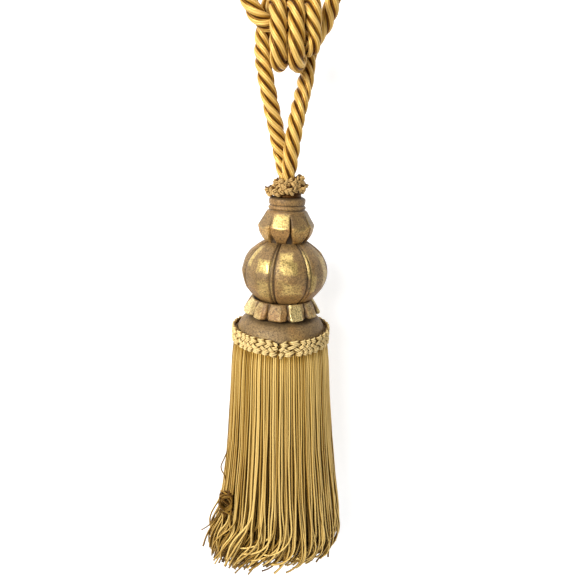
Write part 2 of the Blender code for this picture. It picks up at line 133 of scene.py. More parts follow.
# --- Meshes ---
def mesh_object(name, verts, quads, tris, uvs, attributes):
    """A smooth-shaded object in metres from arrays in millimetres.

    uvs has one (u, v) for each corner of the quads; attributes maps a name to one value
    for each vertex."""
    verts = np.asarray(verts, dtype=np.float32) * MM
    faces = [np.asarray(quads, dtype=np.int32), np.asarray(tris, dtype=np.int32)]
    corners = np.concatenate([f.ravel() for f in faces])
    totals = np.concatenate([np.full(len(f), f.shape[1], np.int32) for f in faces])
    starts = np.concatenate([[0], np.cumsum(totals)[:-1]]).astype(np.int32)
    mesh = bpy.data.meshes.new(name)
    mesh.vertices.add(len(verts))
    mesh.vertices.foreach_set("co", verts.ravel())
    mesh.loops.add(len(corners))
    mesh.loops.foreach_set("vertex_index", corners)
    mesh.polygons.add(len(totals))
    mesh.polygons.foreach_set("loop_start", starts)
    mesh.polygons.foreach_set("loop_total", totals)
    flat = np.asarray(uvs, dtype=np.float32).reshape(-1, 2)
    flat = np.concatenate([flat, np.zeros((len(corners) - len(flat), 2), np.float32)])
    mesh.uv_layers.new(name="UVMap").data.foreach_set("uv", flat.ravel())
    for key, values in attributes.items():
        layer = mesh.attributes.new(key, "FLOAT", "POINT")
        layer.data.foreach_set("value", np.asarray(values, dtype=np.float32))
    mesh.update(calc_edges=True)
    mesh.validate()
    mesh.shade_smooth()
    obj = bpy.data.objects.new(name, mesh)
    bpy.context.scene.collection.objects.link(obj)
    return obj


def ring_quads(rings, sides, first):
    """Quads between neighbouring rings of a tube, and the ring and side of each corner."""
    i, j = np.meshgrid(np.arange(rings - 1), np.arange(sides), indexing="ij")
    i, j = i.ravel(), j.ravel()
    nxt = (j + 1) % sides
    quads = np.stack([i * sides + j, i * sides + nxt, (i + 1) * sides + nxt, (i + 1) * sides + j], 1)
    ring_of = np.stack([i, i, i + 1, i + 1], 1)
    side_of = np.stack([j, j + 1, j + 1, j], 1)
    return quads + first, ring_of, side_of


class Tubes:
    """Gathers many tubes into one mesh."""

    def __init__(self):
        self.verts, self.quads, self.tris, self.uvs = [], [], [], []
        self.attributes = {}
        self.count = 0

    def add(self, points, radius, sides, out=None, flat=1.0, twist=0.0, **attributes):
        """radius is a number or one for each point; out is a direction that a section's
        first axis is turned to, and flat squeezes the section along it; twist is how
        fast the texture goes round; an attribute is a number, or an array by point, by
        side or by both."""
        rings = len(points)
        radius = np.broadcast_to(radius, (rings,))
        tangents, n, b = carried_frames(points)
        if out is not None:
            n = unit(out - tangents * np.sum(out * tangents, axis=1, keepdims=True))
            b = np.cross(tangents, n)
        angle = TAU * np.arange(sides) / sides
        c = np.cos(angle)[None, :, None] * flat
        s = np.sin(angle)[None, :, None]
        section = (c * n[:, None, :] + s * b[:, None, :]) * radius[:, None, None]
        quads, ring_of, side_of = ring_quads(rings, sides, self.count)
        u = travelled(points)[ring_of]
        v = side_of / sides + u * twist
        self.uvs.append(np.stack([u, v], axis=-1))
        self.quads.append(quads)
        for ring, order in ((0, -1), (rings - 1, 1)):
            first = self.count + ring * sides
            fan = np.array([[first, first + k, first + k + 1] for k in range(1, sides - 1)])
            self.tris.append(fan[:, ::order])
        for key, value in attributes.items():
            value = np.asarray(value, dtype=float)
            if value.size == rings:
                value = value.reshape(rings, 1)
            self.attributes.setdefault(key, []).append(np.broadcast_to(value, (rings, sides)).ravel())
        self.verts.append((points[:, None, :] + section).reshape(-1, 3))
        self.count += rings * sides

    def build(self, name):
        attributes = {key: np.concatenate(values) for key, values in self.attributes.items()}
        return mesh_object(name, np.vstack(self.verts), np.vstack(self.quads), np.vstack(self.tris),
                           np.vstack(self.uvs), attributes)


def polar_grid(name, shape, columns, rows):
    """A turned body with ornament, closed by a fan at each pole.

    shape(angle, t) gives r, z and a dictionary of attributes as arrays, for t from 0 at
    the top to 1 at the bottom."""
    angle, t = np.meshgrid(TAU * np.arange(columns) / columns, np.linspace(0.0, 1.0, rows))
    r, z, attributes = shape(angle, t)
    verts = np.stack([r * np.cos(angle), r * np.sin(angle), z], axis=-1).reshape(-1, 3)
    top, bottom = len(verts), len(verts) + 1
    verts = np.vstack([verts, [[0.0, 0.0, z[0].mean()], [0.0, 0.0, z[-1].mean()]]])
    quads, ring_of, side_of = (part[:, [0, 3, 2, 1]] for part in ring_quads(rows, columns, 0))
    uvs = np.stack([side_of / columns, ring_of / rows], axis=-1)
    k = np.arange(columns)
    after = (k + 1) % columns
    last = (rows - 1) * columns
    tris = np.vstack([np.stack([np.full(columns, top), k, after], 1),
                      np.stack([np.full(columns, bottom), last + after, last + k], 1)])
    attributes = {key: np.append(v, (v[0, 0], v[-1, -1])) for key, v in attributes.items()}
    return mesh_object(name, verts, quads, tris, uvs, attributes)


def centre_on_skirt(obj, beyond=0.0):
    """Shift the vertices at least that far from the axis (mm) to the skirt's middle."""
    co = np.empty(len(obj.data.vertices) * 3, dtype=np.float32)
    obj.data.vertices.foreach_get("co", co)
    co = co.reshape(-1, 3)
    co[np.hypot(co[:, 0], co[:, 1]) >= beyond * MM, 0] += SKIRT_X * MM
    obj.data.vertices.foreach_set("co", co.ravel())
    obj.data.update()


# --- Materials ---
# Yarn colours: painted shade in the gaps, the flanks, and painted light on the crests of its strands
CORD_COLOURS = ((0.090, 0.018, 0.0), (0.445, 0.224, 0.028), (0.76, 0.485, 0.138))
GIMP_COLOURS = ((0.066, 0.022, 0.001), (0.41, 0.266, 0.086), (0.71, 0.53, 0.235))
# The collar is the gimp in darker colours: painted shade.
COLLAR_SHADED_COLOURS = ((0.066, 0.018, 0.001), (0.185, 0.094, 0.025), (0.48, 0.305, 0.115))
FRINGE_COLOURS = ((0.078, 0.030, 0.003), (0.352, 0.194, 0.032), (0.79, 0.545, 0.180))
YARN_GLINT = (1.0, 0.80, 0.42)  # the colour of the satin's highlights
WOOD_DARK = (0.040, 0.022, 0.009)
WOOD_BRONZE = (0.200, 0.119, 0.042)
WOOD_GOLD = (0.66, 0.47, 0.155)
WOOD_RUST = (0.42, 0.205, 0.048)
RUFF_GOLD = (0.88, 0.68, 0.29)  # paler than the ball's and the cup's
MOULD_BRONZE = (0.195, 0.120, 0.044)


class Shader:
    """Short names for building a node material."""

    def __init__(self, name):
        self.material = bpy.data.materials.new(name)
        self.material.use_nodes = True
        self.nodes = self.material.node_tree.nodes
        self.links = self.material.node_tree.links
        self.bsdf = self.nodes["Principled BSDF"]

    def put(self, socket, value):
        if isinstance(value, bpy.types.NodeSocket):
            self.links.new(value, socket)
        elif isinstance(value, tuple) and len(value) == 3 and len(socket.default_value) == 4:
            socket.default_value = (*value, 1.0)
        else:
            socket.default_value = value

    def set(self, **values):
        """Sets the shader's inputs: base_color is its Base Color, and so on."""
        for key, value in values.items():
            self.put(self.bsdf.inputs[key.replace("_", " ").title().replace("Ior", "IOR")], value)

    def node(self, kind, inputs, output=0, **settings):
        """A new node's output; inputs maps its sockets' names or numbers to values."""
        node = self.nodes.new("ShaderNode" + kind)
        for key, value in settings.items():
            setattr(node, key, value)
        for key, value in inputs.items():
            self.put(node.inputs[key], value)
        return node.outputs[output]

    def attribute(self, name):
        return self.node("Attribute", {}, "Fac", attribute_name=name)

    def coordinate(self, kind="Object"):
        return self.node("TexCoord", {}, kind)

    def math(self, operation, *values, clamp=False):
        return self.node("Math", dict(enumerate(values)), operation=operation, use_clamp=clamp)

    def weighted(self, *pairs, start=0.0):
        """start plus the sum of values, each times its weight."""
        total = start
        for value, weight in pairs:
            total = self.math("MULTIPLY_ADD", value, weight, total)
        return total

    def noise(self, scale, detail, roughness, vector=None, distortion=0.0):
        inputs = {"Scale": scale, "Detail": detail, "Roughness": roughness, "Distortion": distortion}
        inputs["Vector"] = self.coordinate() if vector is None else vector
        return self.node("TexNoise", inputs, "Fac")

    def ramp(self, value, *stops):
        """A colour ramp through (place, colour or grey level) stops."""
        node = self.nodes.new("ShaderNodeValToRGB")
        self.put(node.inputs[0], value)
        elements = node.color_ramp.elements
        while len(elements) < len(stops):
            elements.new(0.5)
        for element, (place, colour) in zip(elements, stops):
            element.position = place
            colour = colour if isinstance(colour, tuple) else (colour, colour, colour)
            element.color = (*colour, 1.0)
        return node.outputs[0]

    def mix(self, factor, a, b):
        return self.node("Mix", {"Factor": factor, 6: a, 7: b}, 2, data_type="RGBA")

    def bump(self, height, strength, distance, **normal):
        """Normal, where given, is a bump that this one goes on top of."""
        return self.node("Bump", {"Height": height, "Strength": strength, "Distance": distance, **normal})


def yarn_material(name, colours, filaments, roughness, streaks=60.0, plies=0.0):
    """Lustrous viscose yarn: fine filaments along the strand, painted shade between strands.

    filaments and plies are their numbers round a strand, streaks how fine its uneven dye
    is.  The mesh's crest is painted light and shade, 1 where a strand is lit and 0 in the
    gaps, with each fringe strand's own tone; its shade sets strands off from one another,
    and its u is the way along them in mm."""
    deep, middle, light = colours
    s = Shader(name)
    uv = s.node("SeparateXYZ", {0: s.coordinate("UV")}).node.outputs
    crest, shade = s.attribute("crest"), s.attribute("shade")
    ridges = s.math("SINE", s.math("MULTIPLY", uv[1], TAU * filaments))
    ridges = s.math("MULTIPLY_ADD", ridges, 0.5, 0.5)
    stretched = s.node("CombineXYZ", {0: s.math("MULTIPLY", uv[0], 0.25),
                                      1: s.math("MULTIPLY", uv[1], streaks),
                                      2: s.math("MULTIPLY", shade, 40.0)})
    streak = s.noise(1.0, 3.0, 0.6, stretched)
    lit = s.weighted((crest, 0.70), (streak, 0.44), (shade, 0.20))
    lobes = {}
    if plies:
        ply = s.math("ABSOLUTE", s.math("SINE", s.math("MULTIPLY", uv[1], math.pi * plies)))
        # The valleys between plies are painted darker as well as bumped: painted shade.
        between = s.math("POWER", s.math("SUBTRACT", 1.0, ply), 2.0)
        lit = s.math("SUBTRACT", lit, s.math("MULTIPLY", between, 0.40))
        lobes = {"Normal": s.bump(ply, 0.9, 0.0003)}
    s.set(base_color=s.ramp(lit, (0.24, deep), (0.62, middle), (1.08, light)))
    s.set(roughness=roughness, metallic=0.18, specular_ior_level=0.34, specular_tint=YARN_GLINT)
    s.set(sheen_weight=0.08, sheen_roughness=0.4, sheen_tint=YARN_GLINT)
    s.set(normal=s.bump(s.weighted((ridges, 0.5), (streak, 0.6)), 0.55, 0.00012, **lobes))
    return s.material


def gilt_material(name, gold_amount, bronze=WOOD_BRONZE, roughness=0.4, leaf=WOOD_GOLD):
    """Dark bronze paint on wood, rubbed with pale gold where hands and tools reach: rub and
    warm say how much gold is left and how rusty it is, and cavity is painted shade that
    darkens grooves, slits and the places under other parts."""
    s = Shader(name)
    blotch = s.noise(95.0, 5.0, 0.62)
    fine = s.noise(620.0, 4.0, 0.7)
    grit = s.noise(1150.0, 2.0, 0.6)
    drawn_out = s.node("Mapping", {"Vector": s.coordinate(), "Scale": (3.0, 3.0, 0.8)})
    grain = s.noise(60.0, 4.0, 0.6, drawn_out, 0.6)
    worn = s.weighted((s.attribute("rub"), gold_amount), (blotch, 0.9), (fine, 0.8), start=-0.85)
    gold = s.ramp(worn, (0.22, 0.0), (0.92, 0.95))
    base = s.mix(s.ramp(grain, (0.3, 0.0), (0.75, 1.0)), bronze, tuple(c * 1.5 for c in bronze))
    rust = s.ramp(s.noise(48.0, 3.0, 0.5), (0.52, 0.0), (0.72, 0.40))
    base = s.mix(s.math("ADD", rust, s.attribute("warm"), clamp=True), base, WOOD_RUST)
    colour = s.mix(gold, base, leaf)
    colour = s.mix(s.ramp(grit, (0.36, 0.62), (0.56, 0.0)), colour, WOOD_DARK)
    speckle = s.ramp(s.noise(700.0, 2.0, 0.5), (0.30, 1.0), (0.40, 0.0))
    colour = s.mix(s.math("MULTIPLY", speckle, 0.6), colour, WOOD_DARK)
    # Painted shade: grooves, slits and places under other parts are darkened.
    colour = s.mix(s.attribute("painted_cavity_shade"), colour, WOOD_DARK)
    s.set(base_color=colour, metallic=s.math("MULTIPLY_ADD", gold, 0.40, 0.15), specular_ior_level=0.45)
    s.set(roughness=s.ramp(gold, (0.0, roughness + 0.15), (1.0, roughness - 0.06)))
    s.set(normal=s.bump(s.weighted((grain, 0.5), (fine, 0.7)), 0.6, 0.0004))
    return s.material


def finish_piece(obj, material, slot, *nodes):
    """Give a piece its material, and let it stand for nodes of the model."""
    obj.data.materials.append(material)
    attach(obj, "root")
    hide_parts(*nodes)


# --- Camera, wall and light ---
SENSOR_MM = 36.0
PICTURE_PIXELS = 580.0
FOCAL_PIXELS = 581.0
CAMERA_PLACE = Vector((3.9, -360.0, -128.0)) * MM
CAMERA_PITCH = 15.5  # degrees down
CAMERA_ROLL = 2.3  # the tassel's foot leans left in the picture
WALL_PLACE = (0.0, 0.054, -0.2)
WALL_SIZE = 5.0
WALL_GLOW = 0.72
FLOOR_Z = -1.0
FLOOR_SIZE = 6.0
ROOM_LIGHT = 0.10
WHITE = (1.0, 1.0, 1.0)
LIGHTS = (
    # name, place, width, watts, height of what it points at on the tassel's axis
    ("key", (-0.70, -0.80, 0.32), 0.50, 18.4, -0.22),
    ("front", (-0.24, -0.95, 0.12), 0.16, 3.4, -0.22),
    ("fill", (0.72, -0.78, -0.50), 0.70, 1.7, -0.34),
    ("top", (0.05, -0.10, 0.80), 0.40, 2.5, -0.22),
)


def make_camera():
    data = bpy.data.cameras.new("camera")
    data.sensor_width = SENSOR_MM
    data.lens = SENSOR_MM * FOCAL_PIXELS / PICTURE_PIXELS
    data.clip_start = 0.01
    camera = bpy.data.objects.new("camera", data)
    pitch = Matrix.Rotation(math.radians(90.0 - CAMERA_PITCH), 4, "X")
    roll = Matrix.Rotation(math.radians(CAMERA_ROLL), 4, "Z")
    camera.matrix_world = Matrix.Translation(CAMERA_PLACE) @ pitch @ roll
    bpy.context.scene.collection.objects.link(camera)
    bpy.context.scene.camera = camera


def add_plane(name, size, place, tilt, material):
    bpy.ops.mesh.primitive_plane_add(size=size, location=place, rotation=(math.radians(tilt), 0.0, 0.0))
    plane = bpy.context.object
    plane.name = name
    plane.data.materials.append(material)
    return plane


def make_wall():
    """A white wall close behind, clear when seen from its back."""
    s = Shader("white_wall")
    s.set(base_color=(0.50, 0.50, 0.50), roughness=0.9)
    s.set(emission_color=WHITE, emission_strength=WALL_GLOW)
    behind = s.node("NewGeometry", {}, "Backfacing")
    clear = s.node("BsdfTransparent", {})
    either = s.node("MixShader", {0: behind, 1: s.bsdf.outputs[0], 2: clear})
    s.links.new(either, s.nodes["Material Output"].inputs["Surface"])
    wall = add_plane("wall", WALL_SIZE, WALL_PLACE, 90.0, s.material)


def make_floor():
    s = Shader("pale_floor")
    s.set(base_color=(0.86, 0.86, 0.85), roughness=0.8)
    floor = add_plane("floor", FLOOR_SIZE, (0.0, 0.0, FLOOR_Z), 0.0, s.material)


def make_light():
    world = bpy.data.worlds.new("room")
    world.use_nodes = True
    background = world.node_tree.nodes["Background"]
    background.inputs["Color"].default_value = (*WHITE, 1.0)
    background.inputs["Strength"].default_value = ROOM_LIGHT
    bpy.context.scene.world = world
    for name, place, size, watts, aim in LIGHTS:
        data = bpy.data.lights.new(name, "AREA")
        data.shape = "SQUARE"
        data.size = size
        data.energy = watts
        light = bpy.data.objects.new(name, data)
        light.location = place
        away = Vector(place) - Vector((0.0, 0.0, aim))
        light.rotation_euler = away.to_track_quat("Z", "Y").to_euler()
        bpy.context.scene.collection.objects.link(light)
    bpy.context.scene.view_settings.view_transform = "Standard"


# --- Cord ---
# The route of the model's cord: x to the right, y away from the front, z up, in mm.
LEFT_LEG = (
    (-1.3, 4.0, -168.1), (-1.5, 4.0, -160.0), (-3.0, 4.6, -152.5), (-5.4, 5.0, -141.0),
    (-8.0, 4.4, -130.0), (-10.6, 3.3, -119.5), (-12.8, 2.6, -111.0), (-14.7, 2.8, -102.5),
    (-16.4, 4.0, -95.0), (-17.7, 6.2, -88.5), (-18.2, 8.8, -82.0), (-18.0, 10.5, -75.5),
    (-17.4, 10.6, -69.0), (-16.0, 8.6, -63.4), (-13.9, 4.9, -59.6),
)
TURN_INTO_CORE = (
    (11.9, -6.9, -75.4), (12.4, -6.7, -79.2), (11.8, -5.6, -82.7), (10.2, -3.0, -84.2),
    (8.6, -0.4, -82.8), (7.6, 0.6, -79.4), (5.2, 0.5, -76.4), (1.8, 0.1, -74.7),
)
CORE = ((-1.2, 0.0, -73.9), (-6.2, 0.0, -72.3), (-11.0, -0.1, -71.2))
LEFT_ARM = ((-16.2, -0.8, -70.2), (-20.6, -1.0, -67.2), (-24.0, -0.6, -62.2), (-27.2, -0.1, -56.0))
LOOP = (
    (-30.6, 0.0, -47.6), (-32.6, 0.0, -38.2), (-32.4, 0.0, -28.5), (-29.9, 0.0, -18.8),
    (-25.0, 0.0, -9.9), (-17.9, 0.0, -2.6), (-9.3, 0.0, 2.7), (0.0, 0.0, 4.8),
    (8.9, 0.2, 2.7), (16.4, 0.6, -2.5), (22.1, 1.2, -9.9), (25.3, 2.1, -18.8),
    (26.2, 3.4, -28.5), (25.2, 5.0, -38.5), (23.3, 7.0, -47.8),
)
RIGHT_STRAND = (
    (21.7, 9.4, -55.9), (20.3, 12.4, -62.6), (17.2, 15.4, -69.2), (12.9, 17.5, -75.4),
    (10.0, 17.9, -82.2), (9.1, 15.9, -89.8), (8.5, 11.9, -97.5), (7.2, 7.0, -105.0),
    (5.7, 2.4, -112.0), (4.2, -1.2, -119.5), (2.7, -3.8, -129.5), (1.5, -4.9, -140.5),
    (0.5, -4.6, -152.0), (-0.3, -4.0, -160.0), (-0.3, -4.0, -168.1),
)
WRAP_TURNS = 2.19
WRAP_POINTS_PER_TURN = 16
WRAP_PITCH = 10.2
WRAP_FIRST_TOP = -11.9  # x of the first wrap's top
WRAP_LEAN = 0.7
WRAP_SIDESTEP = 0.9
WRAP_BEND_RADIUS = 9.1
WRAP_STRAIGHT = 7.4  # half the straight stretch between two bends
WRAP_SQUARENESS = 3.0
WRAP_MIDDLE = -75.3
WRAP_TUCK_START = 1.6  # the turn from which the last wrap is drawn in
WRAP_TUCK_X = 0.7
WRAP_TUCK_Y = 2.6
KNOT_SQUEEZE = 0.8  # share of the cord's thickness left inside the knot
NECK_SQUEEZE = 0.81  # and under the collar
NECK_GRIP_START = 148.0  # below the origin
NECK_GRIP_LENGTH = 9.0

CORD_LAY = 36.0
CORD_STRANDS = 4
STRAND_RADIUS = 2.03
STRAND_CENTRE = 3.06  # from the cord's middle to a strand's
STRAND_SIDES = 16
CORE_RADIUS = 1.9
YARN_TURN = 160.0  # mm of strand in which its yarns go once round


def wrap_point(turn):
    """A point of the wraps, which go from left to right round the cord's own core."""
    angle = TAU * turn
    upper = math.tanh(WRAP_SQUARENESS * math.cos(angle))
    tuck = min(1.0, max(0.0, (turn - WRAP_TUCK_START) / (WRAP_TURNS - WRAP_TUCK_START)))
    return (WRAP_FIRST_TOP + WRAP_PITCH * turn + WRAP_LEAN * math.cos(angle)
            + WRAP_SIDESTEP * math.sin(angle) - WRAP_TUCK_X * tuck,
            WRAP_TUCK_Y * tuck - WRAP_BEND_RADIUS * math.sin(angle),
            WRAP_MIDDLE + WRAP_BEND_RADIUS * math.cos(angle) + WRAP_STRAIGHT * upper)


def neck_size(point):
    """Share of the full thickness: the cord is drawn in where it enters the head."""
    grip = min(1.0, max(0.0, (-point[2] - NECK_GRIP_START) / NECK_GRIP_LENGTH))
    return 1.0 - (1.0 - NECK_SQUEEZE) * grip


def cord_route():
    """The cord's points, with its share of the full thickness as a fourth column."""
    last = int(WRAP_TURNS * WRAP_POINTS_PER_TURN)
    wraps = tuple(wrap_point(i / WRAP_POINTS_PER_TURN) for i in range(last + 1))
    rows = [(*p, neck_size(p)) for p in LEFT_LEG + wraps]
    rows += [(*p, KNOT_SQUEEZE) for p in TURN_INTO_CORE + CORE]
    rows += [(*p, neck_size(p)) for p in LEFT_ARM + LOOP + RIGHT_STRAND]
    return rows


def make_cord():
    """Four strands laid round a core."""
    path, along = even_path(smooth_path(cord_route(), 12), 1.0)
    centre, size = path[:, :3], path[:, 3]
    _, n, b = carried_frames(centre)
    tubes = Tubes()
    wobble = 0.16 * np.sin(along / 23.0 + 1.0) + 0.1 * np.sin(along / 9.1)
    around = TAU * np.arange(STRAND_SIDES) / STRAND_SIDES
    # Painted light and shade: each strand is lit on its outer face and painted dark in the grooves
    # between strands.
    crest = smoothstep(0.5 + 0.5 * np.cos(around), 0.54, 1.0) * 1.04
    for k in range(CORD_STRANDS):
        angle = -TAU * along / CORD_LAY + TAU * k / CORD_STRANDS + wobble
        out = n * np.cos(angle)[:, None] + b * np.sin(angle)[:, None]
        fat = 1.0 + 0.03 * np.sin(along / 4.7 + k * 1.9) + 0.02 * np.sin(along / 2.1 + k)
        strand = centre + out * (size * STRAND_CENTRE)[:, None]
        tubes.add(strand, STRAND_RADIUS * size * fat, STRAND_SIDES, out=out, flat=0.97,
                  twist=-1.0 / YARN_TURN, crest=crest, shade=0.3 + 0.15 * k)
    # The core shows only in the gaps and is painted black: painted shade.
    tubes.add(centre, CORE_RADIUS * size, 8, crest=0.0, shade=0.0)
    material = yarn_material("cord_satin", CORD_COLOURS, 22.0, 0.34, plies=8.0)
    finish_piece(tubes.build("twisted_cord"), material, "cord", "tieback_cord")


# --- Plaited gimp ---
UPWARD = np.array([0.0, 0.0, 1.0])
BRAID_RING = 30.75  # radius of the skirt braid's middle
BRAID_CORD = 0.53  # radius of its thin cords
BRAID_GAP = 1.05  # between the middles of a strand's two cords
BRAID_DEPTH = 0.84  # how far a strand passes over and under
BRAID_PITCH = 37.0  # length of a strand's whole swing
BRAID_STRANDS = 7
BRAID_MEETING = -1.0  # where its two ends meet, degrees from the front
BRAID_DROOP = 1.5  # how far the ends hang down there
BRAID_BACKING = (-1.9, 0.0, 1.9)  # heights of the cords that close its back


def plait(tubes, centre, across, out, half, depth, pitch, cord, gap, seed, sides=8, strands=3):
    """A flat plait, one over and one under, each strand two thin cords side by side.

    centre, across and out are arrays along the path; half and depth are how far a strand
    swings to each side and passes over and under, in a length of pitch; cord is a thin
    cord's radius, and gap is between two cords' middles."""
    rng = random.Random(seed)
    along = travelled(centre)
    tangent = unit(np.gradient(centre, axis=0))
    uneven = 0.25 * np.sin(along / 6.1 + seed) + 0.15 * np.sin(along / 2.7 + 2.0 * seed)
    for k in range(strands):
        phase = TAU * (along / pitch + k / strands) + uneven
        swing = np.sin(phase) * half
        slope = np.cos(phase) * half * TAU / pitch
        norm = np.sqrt(1.0 + slope ** 2)
        lift = np.sin((strands - 1.0) * phase) * depth
        high = np.clip(0.5 + 0.5 * lift / depth, 0.0, 1.0)
        # Painted shade where a strand passes under the others, painted light where it rides over.
        lit = -0.02 + 1.10 * smoothstep(high, 0.22, 0.88)
        sunk = lift - 0.22 * cord
        for j in range(2):
            off = (j - 0.5) * gap
            points = (centre + tangent * (-off * slope / norm)[:, None]
                      + across * (swing + off / norm)[:, None] + out * sunk[:, None])
            fat = cord * (1.0 + 0.05 * np.sin(along / 1.3 + 2.0 * k + j))
            tubes.add(points, fat, sides, twist=0.45, crest=lit, shade=rng.uniform(0.1, 0.9))


def make_skirt_braid():
    """The plaited gimp round the mould, its two ends meeting with a droop in front."""
    tubes = Tubes()
    middle = (BRAID_LOW[2] + BRAID_HIGH[2]) / 2.0
    half = (BRAID_HIGH[2] - BRAID_LOW[2]) / 2.0 - BRAID_CORD - BRAID_GAP / 2.0
    a = from_front(BRAID_MEETING) + TAU * np.linspace(0.004, 0.996, 640)
    from_end = np.minimum(a - a[0], a[-1] - a)
    droop = BRAID_DROOP * np.exp(-((from_end / 0.09) ** 2))
    z = middle + 0.35 * np.sin(2.0 * a + 0.6) - droop
    centre = np.stack([SKIRT_X + BRAID_RING * np.cos(a), BRAID_RING * np.sin(a), z], axis=1)
    out = np.stack([np.cos(a), np.sin(a), np.zeros_like(a)], axis=1)
    across = np.tile(UPWARD, (len(a), 1))
    plait(tubes, centre, across, out, half, BRAID_DEPTH, BRAID_PITCH, BRAID_CORD, BRAID_GAP,
          seed=3, sides=6, strands=BRAID_STRANDS)
    # The cords that close the braid's back are painted almost black: painted shade seen through the
    # plait.
    for lift in BRAID_BACKING:
        tubes.add(centre - 1.5 * out + lift * across, 1.15, 8, crest=0.05, shade=0.0)
    material = yarn_material("gimp_yarn", GIMP_COLOURS, 5.0, 0.5)
    finish_piece(tubes.build("plaited_braid"), material, "gimp", "skirt_braid")


# The ring's middle in x, half widths in x and y, height above the collar's foot, how much
# higher on the right, where it starts, ruffles, lean (above 0: its top outward), seed
CollarTurn = namedtuple("CollarTurn", "x wide deep lift tilt start ruffles lean seed")
COLLAR_TURNS = (
    CollarTurn(-0.9, 10.9, 10.4, 4.3, 1.3, 75.0, 8, 1.0, 11),
    CollarTurn(0.3, 8.2, 9.4, 8.7, 1.4, 115.0, 9, -0.4, 12),
)
BINDING_ROWS = 7
BINDING_RISE = 1.1
BINDING_RING = (7.9, 7.8)  # half widths in x and y


def add_collar_turn(tubes, turn):
    """One turn of gathered gimp round the cord's legs, and a cord that closes its back."""
    a = from_front(turn.start) + TAU * np.linspace(0.0, 1.0, 300)
    ruffle = np.sin(turn.ruffles * a + 0.9 * np.sin(2.0 * a))
    grow = 1.0 + 0.085 * ruffle
    z = COLLAR_FOOT + turn.lift + turn.tilt * np.cos(a) + 0.75 * np.cos(turn.ruffles * a + 0.4)
    centre = np.stack([turn.x + turn.wide * grow * np.cos(a), turn.deep * grow * np.sin(a), z], axis=1)
    level_out = unit(np.stack([np.cos(a) / turn.wide, np.sin(a) / turn.deep, np.zeros_like(a)], axis=1))
    lean = (0.25 + 0.35 * ruffle)[:, None] * turn.lean
    across = unit(UPWARD + level_out * lean)
    out = unit(level_out - UPWARD * lean)
    plait(tubes, centre, across, out, 1.85, 0.9, 9.6, 0.52, 0.98, turn.seed)
    # The cord behind the gimp is painted almost black: painted shade.
    tubes.add(centre - 1.2 * out, 1.3, 8, crest=0.04, shade=0.0)


def add_binding(tubes):
    """The cord's legs are bound together under the gimp."""
    a = TAU * np.linspace(0.0, 1.0, 80)
    for row in range(BINDING_ROWS):
        z = np.full_like(a, COLLAR_FOOT + 0.5 + BINDING_RISE * row)
        ring = np.stack([BINDING_RING[0] * np.cos(a), BINDING_RING[1] * np.sin(a), z], axis=1)
        # The binding is painted almost black: painted shade under the collar.
        tubes.add(ring, 0.75, 6, crest=0.05, shade=0.1)


def add_gimp_end(tubes):
    """The gimp's turned-under end stands up at the right."""
    t = np.linspace(0.0, 1.0, 60)
    centre = np.stack([6.4 + 2.2 * np.sin(math.pi * t), -6.4 + 2.4 * t,
                       COLLAR_FOOT + 7.6 + 4.4 * np.sin(2.2 * t)], axis=1)
    out = np.tile(unit(np.array([0.8, -0.6, 0.25])), (len(t), 1))
    across = np.cross(out, unit(np.gradient(centre, axis=0)))
    plait(tubes, centre, across, out, 1.6, 0.8, 7.6, 0.42, 0.80, seed=17)


def make_collar():
    """The same gimp, narrower and gathered, wound twice round the cord's legs."""
    tubes = Tubes()
    for turn in COLLAR_TURNS:
        add_collar_turn(tubes, turn)
    add_binding(tubes)
    add_gimp_end(tubes)
    # The gimp's colours, darkened: painted shade.
    material = yarn_material("collar_yarn", COLLAR_SHADED_COLOURS, 5.0, 0.5)
    finish_piece(tubes.build("ruffled_collar"), material, "gimp", "neck_collar")


# --- Carved head ---
# Depth below the neck's top, radius of the neck and of the petals' outer faces
NECK_PROFILE = (
    (0.0, 9.3), (0.35, 10.4), (1.2, 11.25), (2.6, 11.3), (4.2, 11.15), (4.75, 10.65),
    (5.15, 10.75), (5.7, 11.45), (6.4, 11.6), (7.0, 11.35), (7.45, 10.9), (8.0, 11.3),
    (8.6, 12.5),
)
PETAL_PROFILE = (
    (8.6, 12.5), (11.0, 13.9), (14.5, 16.0), (16.8, 17.40), (17.8, 17.75), (18.8, 17.40),
    (22.0, 16.7), (24.5, 15.5), (26.4, 14.1), (27.4, 12.7),
)
# Where each of the neck's two grooves begins, is deepest and ends, below its top
NECK_GROOVES = ((3.9, 4.75, 5.4), (6.8, 7.5, 8.3))
NECK_LENGTH = 8.6
# Share of the section, depth below the neck's top: to the petals' tips, then up inside
CUP_SECTION = ((0.0, 0.0), (0.34, 8.6), (0.93, 27.4), (1.0, 24.3))
CUP_INSIDE = ((0.93, 11.6), (0.965, 8.5), (1.0, 3.0))  # share, radius
CUP_PETALS = 8
CUP_FIRST_SLIT = 10.5  # degrees from the front
CUP_CORE = 12.2  # radius of the wood in the slits
KNUCKLE_DEPTH = 17.4  # where a petal bends, below the neck's top
KNUCKLE_BOW = 1.1  # lower than that at its middle, higher at its edges


def through(x, table):
    """Straight lines through a table's rows: its second column at x of its first."""
    return np.interp(x, *zip(*table))


def petal_edge(a, u, d):
    """1 on the petals and 0 in the slits between them, of which one is nearly closed."""
    half = 0.475 - 0.17 * smoothstep(d, 19.5, 27.5)
    edge = smoothstep(half - np.abs(u), -0.012, 0.03)
    past = degrees_past(a, CUP_FIRST_SLIT - 360.0 / CUP_PETALS)
    closed = 0.75 * np.exp(-(past / 7.0) ** 2)
    return 1.0 - (1.0 - edge) * (1.0 - closed * (1.0 - smoothstep(d, 21.0, 26.0)))


# Painted shadow of the collar at the neck's top, and painted shade in its two grooves.
def neck_painted_shade(d):
    dark = 0.7 * (1.0 - smoothstep(d, 0.5, 1.6))
    for groove in NECK_GROOVES:
        dark = dark + 0.8 * smoothstep(np.interp(d, groove, (0.0, 1.0, 0.0)), 0.2, 1.0)
    return dark


